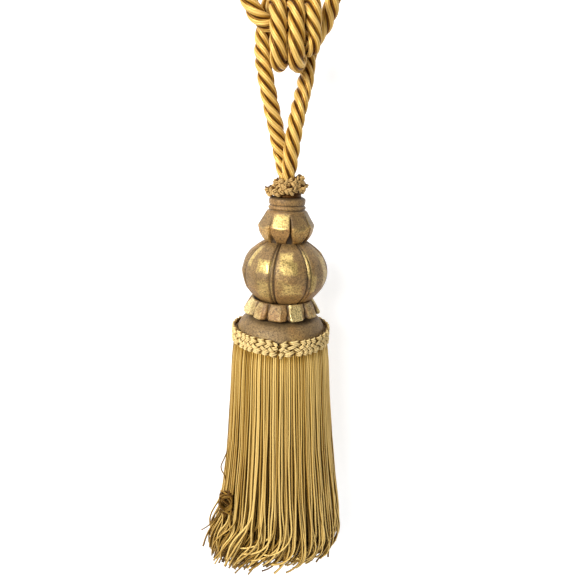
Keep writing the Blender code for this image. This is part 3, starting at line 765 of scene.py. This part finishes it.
def cup_shape(a, t):
    """A beaded neck above a ring of petals, gilt in front and brown below their bends."""
    d = through(t, CUP_SECTION)
    petal, u = np.divmod((a - from_front(CUP_FIRST_SLIT)) / (TAU / CUP_PETALS), 1.0)
    u = u - 0.5
    neck = d < NECK_LENGTH
    uneven = 0.35 * np.sin(petal * 2.4 + 0.6) * smoothstep(d, 10.0, 18.0)
    facet = math.cos(math.pi / CUP_PETALS) / np.cos(u * TAU / CUP_PETALS)
    outer = (through(d, PETAL_PROFILE) + uneven) * (0.35 + 0.663 * facet)
    core = np.minimum(CUP_CORE, outer)
    edge = petal_edge(a, u, d)
    start = smoothstep(d, 9.6, 13.5)
    petals = outer * (1.0 - start) + (core + (outer - core) * edge) * start
    r = np.where(neck, through(d, NECK_PROFILE), petals)
    r = np.where(t > CUP_INSIDE[0][0], through(t, CUP_INSIDE), r)

    knuckle = KNUCKLE_DEPTH + KNUCKLE_BOW * np.cos(TAU * u)
    upper = smoothstep(d, 8.5, 10.3) * (1.0 - smoothstep(d, knuckle - 0.8, knuckle + 0.6))
    lower = smoothstep(d, knuckle - 0.4, knuckle + 0.8) * edge
    ridge = np.exp(-((d - knuckle) / 0.9) ** 2) * edge
    front = np.exp(-(degrees_past(a, CUP_FIRST_SLIT - 180.0 / CUP_PETALS) / 22.0) ** 6)
    chance = 0.5 + 0.5 * np.sin(petal * 2.9 + 1.3)
    gilt = np.maximum(front * 0.92, 0.10 + 0.26 * chance)
    rub = 0.08 + upper * edge * gilt + 0.22 * ridge + 0.10 * neck + 0.34 * lower * (1.0 - 0.6 * front)
    # Painted shade in the slits between petals and on the upper facets of all but the front petal.
    painted_cavity_shade = np.where(neck, neck_painted_shade(d), start * (1.0 - edge) * 0.9)
    painted_cavity_shade = np.maximum(painted_cavity_shade, 0.28 * upper * edge * (1.0 - front))
    return r, NECK_TOP - d, {"painted_cavity_shade": painted_cavity_shade, "rub": rub, "warm": lower * (1.0 - 0.55 * front)}


def make_petal_cup():
    cup = polar_grid("carved_petal_cup", cup_shape, CUP_PETALS * 32, 128)
    finish_piece(cup, gilt_material("gilt_cup", 1.0), "gilt_wood", "petal_cup")


# Where the gold shows most on the ball: degrees to the right of the front and up, half
# width and half height in degrees, strength
BALL_GILDING = (
    (-29.0, 20.0, 9.0, 9.5, 0.80), (3.0, 30.0, 8.0, 14.0, 0.62), (8.0, 19.0, 9.0, 9.0, 0.60),
    (-58.0, 34.0, 5.0, 16.0, 0.75), (-26.0, -18.0, 10.0, 14.0, 0.35), (12.0, -14.0, 12.0, 9.0, 0.32),
    (36.0, 26.0, 3.5, 20.0, 0.75), (42.0, -8.0, 5.0, 14.0, 0.45), (70.0, 10.0, 7.0, 22.0, 0.40),
    (104.0, 24.0, 9.0, 12.0, 0.7), (140.0, 5.0, 12.0, 14.0, 0.6), (182.0, 22.0, 9.0, 14.0, 0.7),
    (214.0, -6.0, 10.0, 16.0, 0.5), (252.0, 18.0, 10.0, 12.0, 0.6),
)
BALL_CENTRE = (BALL_LOW[2] + BALL_HIGH[2]) / 2.0
BALL_HALF_HEIGHT = (BALL_HIGH[2] - BALL_LOW[2]) / 2.0
BALL_RADIUS = 27.2
BALL_LOBES = 7
BALL_FIRST_RIB = -16.0  # degrees from the front
RIB_HALF_WIDTH = 2.7  # degrees from a rib's crest to the groove beside it
FACET_TILTS = (-62.0, -36.0, -10.0, 16.0, 42.0, 66.0)  # degrees up of the rows of facets
ONE_FACET_ABOVE = 50.0  # a row has two facets a lobe, but one near the poles


def facet_radii(direction, seed):
    """Radius shares of a ball cut with a knife into flat facets, and a number from 0 to 1
    that each facet has to itself."""
    rng = np.random.default_rng(seed)
    centres = []
    for k in range(BALL_LOBES):
        for tilt in FACET_TILTS:
            for side in ((0.3, 0.72) if abs(tilt) < ONE_FACET_ABOVE else (0.5,)):
                lobes_on = k + side + rng.uniform(-0.05, 0.05)
                turn = from_front(BALL_FIRST_RIB) + TAU * lobes_on / BALL_LOBES
                lift = math.radians(tilt + rng.uniform(-5.0, 5.0))
                level = math.cos(lift)
                centres.append((level * math.cos(turn), level * math.sin(turn), math.sin(lift)))
    centres = np.array(centres)
    drop = rng.uniform(0.0, 0.018, len(centres))
    facing = np.clip(direction @ centres.T, 0.2, 1.0)
    radii = (1.0 - 0.012 - drop[None, :]) / facing
    best = radii.argmin(axis=1)
    return radii.min(axis=1), rng.uniform(0.0, 1.0, len(centres))[best]


def ball_shape(a, t):
    """Broad faceted lobes between narrow ribs that have a groove on each side."""
    lift = np.clip(math.pi * (0.5 - t), -1.49, 1.49)
    level = np.cos(lift)
    direction = np.stack([level * np.cos(a), level * np.sin(a), np.sin(lift)], -1)
    share, facet = facet_radii(direction.reshape(-1, 3), 5)
    share, facet = share.reshape(a.shape), facet.reshape(a.shape)
    share = 1.0 - 0.55 * (1.0 - np.minimum(share, 1.004))

    pitch = TAU / BALL_LOBES
    from_rib = ((a - from_front(BALL_FIRST_RIB)) / pitch + 0.5) % 1.0 - 0.5
    mm_off = np.abs(from_rib) * pitch * BALL_RADIUS * level
    groove_at = math.radians(RIB_HALF_WIDTH) * BALL_RADIUS * np.maximum(level, 0.35)
    groove = np.exp(-((mm_off - groove_at) / 0.52) ** 2)
    rib = np.exp(-((mm_off / (groove_at * 0.8)) ** 2))
    fade = smoothstep(level, 0.12, 0.4)
    shoulder = smoothstep(mm_off, groove_at, groove_at + 3.2)
    share = np.where(mm_off < groove_at, 0.992, share * shoulder + 0.985 * (1.0 - shoulder))
    share = share - (groove * 0.050 - rib * 0.010) * fade
    r = BALL_RADIUS * share * level
    z = BALL_CENTRE + BALL_HALF_HEIGHT * share * np.sin(lift)

    rub = 0.12 + 0.20 * facet * shoulder + 0.15 * rib * fade
    for turn, tilt, wide, high, strength in BALL_GILDING:
        across = np.abs(degrees_past(a, turn)) * level / wide
        up = np.abs(np.degrees(lift) - tilt) / high
        rub = rub + strength * smoothstep(1.3 - np.maximum(across, up), 0.0, 0.55)
    # Painted shade in the grooves beside the ribs.
    painted_cavity_shade = 0.95 * np.clip(groove * fade, 0.0, 1.0)
    return r, z, {"painted_cavity_shade": painted_cavity_shade, "rub": rub, "warm": 0.5 * smoothstep(-lift, 0.05, 0.5)}


def make_melon_ball():
    ball = polar_grid("carved_melon_ball", ball_shape, BALL_LOBES * 40, 152)
    finish_piece(ball, gilt_material("gilt_ball", 1.0), "gilt_wood", "melon_ball")


# Left edge in degrees, gold left on it, rust, how far its left juts out past its right
SCALLOPS = (
    (-84.0, 1.9, 0.0, 1.0), (-49.0, 0.36, 1.0, -0.7), (-22.5, 0.16, 0.8, -1.2),
    (12.0, 1.35, 0.5, 1.9), (46.0, 0.28, 0.5, -0.6), (76.0, 0.6, 0.2, 1.2),
    (101.0, 0.2, 0.7, -0.8), (129.0, 1.1, 0.1, 1.5), (157.0, 0.3, 0.6, -0.9),
    (186.0, 0.15, 0.8, 1.0), (215.0, 0.9, 0.2, 0.5), (245.0, 0.3, 0.5, -0.8),
)
# Share of the section, radius, height above the ruff's foot
RUFF_SECTION = (
    (0.0, 3.0, 5.3), (0.08, 11.0, 7.2), (0.16, 16.8, 9.9), (0.2, 18.0, 11.2), (0.24, 19.5, 11.2),
    (0.30, 20.2, 10.5), (0.45, 22.2, 7.5), (0.66, 24.9, 2.8), (0.70, 25.0, 2.2),
    (0.74, 24.4, 1.6), (0.82, 22.4, 1.2), (0.88, 19.6, 0.8), (1.0, 3.0, 0.8),
)
RUFF_HIDDEN = 17.5  # inside this radius it stays round the axis, below the ball


def ruff_shape(a, t):
    """A ring of scallops, each with its own knife-cut faces."""
    starts, gilding, warmth, turns = (np.array(column) for column in zip(*SCALLOPS))
    edges = np.radians(np.append(starts, starts[0] + 360.0) - 90.0)
    a = np.where(a >= edges[-1], a - TAU, a)
    k = np.searchsorted(edges, a, side="right") - 1
    width = edges[k + 1] - edges[k]
    u = (a - edges[k]) / width
    shares, radii, heights = zip(*RUFF_SECTION)
    outer = smoothstep(t, 0.2, 0.3) * (1.0 - smoothstep(t, 0.80, 0.88))
    rise = smoothstep(t, 0.24, 0.66)
    notch_width = 1.5 - 0.95 * smoothstep(t, 0.26, 0.5) + 0.6 * smoothstep(t, 0.5, 0.66)
    notch = np.exp(-(np.minimum(u, 1.0 - u) * width * 24.0 / notch_width) ** 2)
    chord = np.cos(width / 2.0) / np.cos((u - 0.5) * width)
    turned = (0.5 - u) * turns[k]
    middle = 0.45 * smoothstep(0.22 - np.abs(u - 0.5), 0.0, 0.05)
    r = np.interp(t, shares, radii) * (1.0 + (chord - 1.0) * outer * rise)
    r = r + outer * ((turned + middle) * rise - notch * (1.5 + 1.2 * rise))
    r = r - outer * rise * 1.9 * smoothstep(u, 0.60, 1.0)
    z = RUFF_FOOT + np.interp(t, shares, heights)
    z = z + outer * np.abs(2.0 * u - 1.0) ** 3 * 0.5 * rise
    # Each scallop keeps less gold on its right third, turned away from the light: painted shade.
    gilt = gilding[k] * (1.0 - 0.85 * smoothstep(u, 0.62, 0.70))
    rub = 0.10 + outer * gilt * smoothstep(np.minimum(u, 1.0 - u), 0.02, 0.12)
    # Painted shade in the notches between scallops, under the ball and on the ruff's underside.
    painted_cavity_shade = np.clip(notch * outer * 0.9 + (t < 0.22) + (t > 0.76), 0.0, 1.0) * 0.85
    return r, z, {"painted_cavity_shade": painted_cavity_shade, "rub": rub, "warm": 0.10 + 0.50 * warmth[k] * rise}


def make_ruff():
    ruff = polar_grid("carved_ruff", ruff_shape, 380, 60)
    centre_on_skirt(ruff, RUFF_HIDDEN)
    finish_piece(ruff, gilt_material("gilt_ruff", 1.05, leaf=RUFF_GOLD), "gilt_wood", "ruff")


# Share of the section, radius, depth below the mould's top
MOULD_SECTION = (
    (0.0, 3.0, 0.0), (0.1, 19.4, 0.05), (0.16, 20.6, 0.35), (0.26, 23.2, 1.7), (0.38, 25.6, 4.0),
    (0.5, 27.3, 6.9), (0.6, 28.2, 9.3), (0.66, 28.5, 10.3), (0.69, 28.2, 11.2),
    (0.72, 26.5, 11.5), (0.9, 26.5, 20.8), (0.92, 25.5, 21.0), (1.0, 3.0, 21.0),
)
MOULD_SHOULDER = 0.6  # share of the section that shows, above the braid


def mould_shape(a, t):
    """A plain domed shoulder with slight dents, and a seat for the braid under it."""
    shares, radii, depths = zip(*MOULD_SECTION)
    dent = 0.16 * np.sin(3.0 * a + 1.0) * np.sin(5.0 * t * a / 3.0) * smoothstep(t, 0.16, 0.3)
    r = np.interp(t, shares, radii) + dent * (t < MOULD_SHOULDER)
    rub = 0.10 + 0.18 * smoothstep(t, 0.3, 0.6)
    # Painted shadow under the ruff at the top of the shoulder, and painted shade where the rim meets the
    # braid.
    painted_cavity_shade = 0.55 * (1.0 - smoothstep(t, 0.16, 0.34)) + 0.7 * smoothstep(t, 0.62, 0.67)
    return r, MOULD_HIGH[2] - np.interp(t, shares, depths), {"painted_cavity_shade": painted_cavity_shade, "rub": rub}


def make_skirt_mould():
    mould = polar_grid("turned_skirt_mould", mould_shape, 180, 64)
    centre_on_skirt(mould)
    material = gilt_material("bronzed_mould", 0.9, MOULD_BRONZE, 0.46)
    finish_piece(mould, material, "bronzed_wood", "skirt_mould")


# --- Fringe ---
# Share of a strand's length, radius of the outer layer there
SKIRT_FLARE = (
    (0.0, 29.3), (0.04, 30.5), (0.1, 31.4), (0.25, 32.6), (0.45, 34.6), (0.65, 38.0),
    (0.8, 41.0), (0.92, 43.4), (1.0, 44.6),
)
FRINGE_ROOT = BRAID_LOW[2] + 2.6
FRINGE_LENGTH = 159.0
FRONT_SHORTER = 6.0  # the front strands are that much shorter
STRAND = 0.67  # radius of a strand
STRAND_TWIST = 0.24
SKIRT_DRIFT = 4.4  # the skirt hangs that far to the right at its foot
CLUMPS = 38  # bunches that the strands gather into lower down
SNARL_STRANDS = 9
SNARL_PLACE = (SKIRT_X - 32.0, -23.5, FRINGE_ROOT - 111.5)
SNARL_SIZE = (3.9, 3.6, 6.8)  # half widths
# Two strands that stand away from the left: from the skirt's middle in x, y, below the root
STRAYS = (
    ((-32.0, -6.0, 70.0), (-32.8, -7.0, 78.0), (-33.6, -8.0, 83.0), (-35.4, -9.0, 88.0),
     (-37.2, -10.0, 92.6), (-36.4, -12.0, 95.2), (-34.2, -14.0, 98.0), (-32.6, -16.0, 104.0)),
    ((-38.0, -16.0, 126.0), (-41.4, -16.0, 132.0), (-45.4, -16.0, 136.6), (-49.8, -16.0, 140.0)),
)
# inset is from the outer layer, scatter its spread, shorter_right: shorter on the right,
# tone: painted shade, lower for the layers further in
Layer = namedtuple("Layer", "name strands inset scatter sides points longer shorter_right tone")
LAYERS = (
    Layer("fringe_outer", 138, 0.0, 1.1, 7, 54, -2.5, 0.0, 1.05),
    Layer("fringe_middle", 180, 2.2, 1.6, 6, 48, -0.5, 2.0, 0.60),
    Layer("fringe_inner", 440, 4.4, 4.2, 4, 38, 4.0, 7.0, 0.35),
    Layer("fringe_core", 540, 11.0, 14.0, 3, 26, 4.5, 7.0, 0.26),
)
COMBED_LAYERS = 2  # the outer ones, whose ends all lie one way


def inner_tip_turn(s, angle, rng):
    """Inner strands' ends lie over one another every way and close the skirt's mouth."""
    begin = rng.uniform(0.80, 0.90)
    u = np.clip((s - begin) / (0.97 - begin), 0.0, 1.0)
    return rng.uniform(0.9, 1.65) * u, angle + rng.uniform(-1.6, 1.6)


def tip_turn(s, angle, rng):
    """How far a strand leans to the left along its length, in radians, and which way
    that lean is turned in plan: the fringe has a set from being folded to one side."""
    left, right = max(0.0, -math.cos(angle)), max(0.0, math.cos(angle))
    begin = rng.uniform(0.76, 0.88) + 0.05 * right
    u = np.clip((s - begin) / (1.0 - begin), 0.0, 1.0)
    most = rng.uniform(0.85, 1.95) * (1.0 - 0.25 * right) * (1.0 - 0.66 * left)
    chance = rng.random()
    if chance < 0.05 * (1.0 - left):
        most = most + 0.7
    elif chance < 0.12 * left:
        most = -0.5 * most
    curled = most * u ** 1.15
    swept = most * 1.10 * np.sin(math.pi * np.minimum(u * 1.35, 1.3))
    mix = left * rng.uniform(0.4, 1.0)
    return curled * (1.0 - mix) + swept * mix, rng.uniform(-0.5, 0.5) + 0.3 * math.sin(angle)


def strand_path(angle, inset, rng, points, length, clump, combed):
    """One cut strand: out from under the braid, straight down, its end curling away."""
    s = np.linspace(0.0, 1.0, points) ** 0.9
    spread = inset * (0.25 + 0.75 * smoothstep(s, 0.0, 0.35)) * (1.0 + 0.6 * s)
    spread = np.minimum(spread, 3.0 + 60.0 * s)
    # Six phases are drawn, of which five are needed.
    phase = [rng.uniform(0.0, TAU) for _ in range(6)]
    loose = 0.10 + 0.55 * s + 1.4 * smoothstep(s, 0.55, 0.95)
    side = loose * (0.50 * np.sin(TAU * 0.9 * s + phase[0]) + 0.34 * np.sin(TAU * 2.3 * s + phase[1])
                    + 0.17 * np.sin(TAU * 4.6 * s + phase[2]))
    side = side - side[0]
    deep = loose * (0.45 * np.sin(TAU * 1.3 * s + phase[3]) + 0.28 * np.sin(TAU * 2.9 * s + phase[4]))
    bunch = 0.016 * np.sin(angle * 29.0) + 0.011 * np.sin(angle * 47.0 + 1.0)
    gather = 0.46 * smoothstep(s, 0.60, 0.90) * (1.0 - 0.7 * smoothstep(s, 0.92, 1.0))
    a = angle + bunch * smoothstep(s, 0.1, 0.7) + (clump - angle) * gather
    r = through(s, SKIRT_FLARE) - spread + deep
    x = r * np.cos(a) - side * np.sin(a)
    y = r * np.sin(a) + side * np.cos(a)
    swept = combed or rng.random() < 0.5 + 0.5 * max(0.0, -math.cos(angle))
    lean, plan = tip_turn(s, angle, rng) if swept else inner_tip_turn(s, angle, rng)
    step = np.diff(s, prepend=0.0) * length
    left_by = np.cumsum(np.sin(lean) * step)
    z = FRINGE_ROOT - np.cumsum(np.cos(lean) * step)
    x = x + SKIRT_DRIFT * s - left_by * math.cos(plan)
    y = y - left_by * math.sin(plan)
    return np.stack([SKIRT_X + x, y, z], axis=1)


def make_snarl(tubes):
    """A few ends on the left have caught in one another in a small tangle."""
    rng = random.Random(9)
    sides = 6
    t = np.linspace(0.0, 1.0, 70)
    # The tangle's strands are painted darker on their sides: painted shade.
    painted_side_shade = smoothstep(np.cos(TAU * np.arange(sides) / sides), 0.0, 0.92)
    for _ in range(SNARL_STRANDS):
        turns = [rng.uniform(0.0, TAU) for _ in range(3)]
        rate = rng.uniform(1.1, 1.5)
        knot = [middle + size * np.sin(TAU * speed * rate * t + turn)
                for middle, size, speed, turn in zip(SNARL_PLACE, SNARL_SIZE, (1.6, 1.1, 0.9), turns)]
        # The tangle's strands are painted at half brightness: painted shade within the tangle.
        tubes.add(np.stack(knot, axis=1), STRAND, sides, twist=STRAND_TWIST,
                  crest=0.5 * painted_side_shade, shade=0.1)
    for stray in STRAYS:
        route = np.array([(SKIRT_X + x, y, FRINGE_ROOT - drop) for x, y, drop in stray])
        # The strays are painted dark: painted shade.
        tubes.add(smooth_path(route), 0.65 * STRAND, sides, twist=STRAND_TWIST, crest=0.22, shade=0.0)


def lengthwise_painted_light(points, right):
    """Painted light along a strand: painted shadow under the braid, a painted highlight where
    its end sweeps away, most of all on the right, and a little less of it again at its tip."""
    s = np.linspace(0.0, 1.0, points)
    sweep = smoothstep(s, 0.58, 0.76) - 0.9 * smoothstep(s, 0.86, 0.96)
    return 0.5 + 0.5 * smoothstep(s, 0.0, 0.05) + 0.17 * (1.0 + 1.3 * right) * sweep


def nearest_clump(angle, clumps):
    """The clump nearest to an angle, as an angle within half a turn of it."""
    away = (clumps - angle + math.pi) % TAU - math.pi
    return angle + away[np.abs(away).argmin()]


def make_layer(index, layer, clumps, material):
    rng = random.Random(101 + index)
    tubes = Tubes()
    # Each strand is painted darker on the sides that face its neighbours: painted shade between strands.
    painted_side_shade = smoothstep(np.cos(TAU * np.arange(layer.sides) / layer.sides), 0.20, 0.97)
    for k in range(layer.strands):
        angle = TAU * (k + 0.5 * index + rng.uniform(-0.22, 0.22)) / layer.strands
        right = max(0.0, math.cos(angle))
        length = FRINGE_LENGTH + layer.longer + rng.uniform(-3.0, 3.0)
        length = length - FRONT_SHORTER * max(0.0, -math.sin(angle)) - layer.shorter_right * right
        depth = layer.inset + rng.uniform(-0.5, 0.5) * layer.scatter
        path = strand_path(angle, depth, rng, layer.points, length, nearest_clump(angle, clumps),
                           index < COMBED_LAYERS)
        out = unit(np.stack([path[:, 0] - SKIRT_X, path[:, 1], np.zeros(layer.points)], axis=1))
        # Painted light: strands on the right are painted brighter and those on the left darker, evening
        # out the light from the left; the random factor is each strand's own tone.
        tone = layer.tone * rng.uniform(0.84, 1.10) * (1.0 + 0.30 * math.cos(angle))
        crest = tone * np.outer(lengthwise_painted_light(layer.points, right), painted_side_shade)
        tubes.add(path, STRAND * rng.uniform(0.80, 1.10), layer.sides, out=out,
                  twist=STRAND_TWIST, crest=crest, shade=rng.uniform(-0.6, 1.3))
    if index == 0:
        make_snarl(tubes)
    finish_piece(tubes.build(layer.name), material, "fringe", "skirt_fringe")


def make_fringe(material):
    rng = random.Random(77)
    clumps = np.array(sorted(TAU * (k + rng.uniform(-0.35, 0.35)) / CLUMPS for k in range(CLUMPS)))
    for index, layer in enumerate(LAYERS):
        make_layer(index, layer, clumps, material)


HEADING_ROWS = 6
HEADING_PITCH = 1.05
HEADING_RADIUS = 28.3


def make_heading(material):
    """The fringe's woven heading, hidden between mould and braid."""
    tubes = Tubes()
    a = TAU * np.linspace(0.0, 1.0, 140)
    for row in range(HEADING_ROWS):
        z = np.full_like(a, FRINGE_TOP - 0.9 - row * HEADING_PITCH)
        ring = np.stack([SKIRT_X + HEADING_RADIUS * np.cos(a), HEADING_RADIUS * np.sin(a), z], axis=1)
        # The heading is painted dark: painted shade between mould and braid.
        tubes.add(ring, 0.6, 6, crest=0.3, shade=0.4)
    finish_piece(tubes.build("fringe_heading"), material, "fringe", "skirt_fringe")


def main():
    make_camera()
    make_wall()
    make_floor()
    make_light()
    make_cord()
    make_skirt_braid()
    make_collar()
    make_petal_cup()
    make_melon_ball()
    make_ruff()
    make_skirt_mould()
    yarn = yarn_material("fringe_yarn", FRINGE_COLOURS, 2.0, 0.37, streaks=30.0)
    make_fringe(yarn)
    make_heading(yarn)


main()
